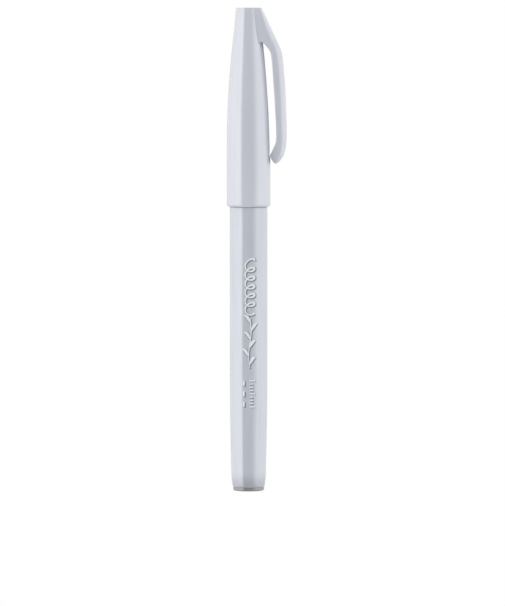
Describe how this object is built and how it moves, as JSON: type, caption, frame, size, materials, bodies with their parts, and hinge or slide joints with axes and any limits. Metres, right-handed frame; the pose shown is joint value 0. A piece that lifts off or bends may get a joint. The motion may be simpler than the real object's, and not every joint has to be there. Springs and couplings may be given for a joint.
{
  "type": "calligraphy marker",
  "caption": "Capped calligraphy marker with a pocket clip moulded into its cap, a tapered barrel with a tail plug, and a flexible brush nib under a sealing inner cap.",
  "frame": {"origin": "middle of the tail plug's flat end face", "axes": "+Z along the pen from the tail to the cap's top, +X towards the pocket clip, +Y across the clip"},
  "size_m": [0.0173, 0.0126, 0.139],
  "materials": {
    "cap_plastic": "cool light grey, glossy moulding",
    "barrel_plastic": "cool light grey, slightly pearly",
    "plug_plastic": "warm mid grey, satin",
    "section_plastic": "mid grey, satin",
    "sleeve_plastic": "milky, unpigmented",
    "nib_fibre": "felted fibre soaked in grey ink",
    "reservoir_fibre": "lengthwise fibre holding ink",
    "film": "thin clear wrap"
  },
  "bodies": {
    "pen": {"barrel": "barrel_plastic", "end_plug": "plug_plastic", "front_section": "section_plastic", "brush_nib": "nib_fibre", "ink_reservoir": "reservoir_fibre", "reservoir_film": "film"},
    "nib": {"brush_point": "nib_fibre"},
    "liner": {"cap_inner_sleeve": "sleeve_plastic"},
    "cap": {"cap_shell": "cap_plastic"},
    "clip": {"cap_clip": "cap_plastic"}
  },
  "joints": [
    {"name": "cap_pull", "type": "slide", "parent": "pen", "child": "liner", "axis": [0, 0, 1], "range_m": [0, 0.05]},
    {"name": "cap_turn", "type": "hinge", "parent": "liner", "child": "cap", "pos_m": [0, 0, 0.1], "axis": [0, 0, 1], "continuous": true},
    {"name": "clip_flex", "type": "hinge", "parent": "cap", "child": "clip", "pos_m": [0.00826, 0, 0.1236], "axis": [0, -1, 0], "range_deg": [0, 5], "stiffness_Nm_per_rad": 1.5},
    {"name": "nib_flex", "type": "hinge", "parent": "pen", "child": "nib", "pos_m": [0, 0, 0.11005], "axis": [1, 0, 0], "range_deg": [-14, 14], "stiffness_Nm_per_rad": 0.01}
  ]
}
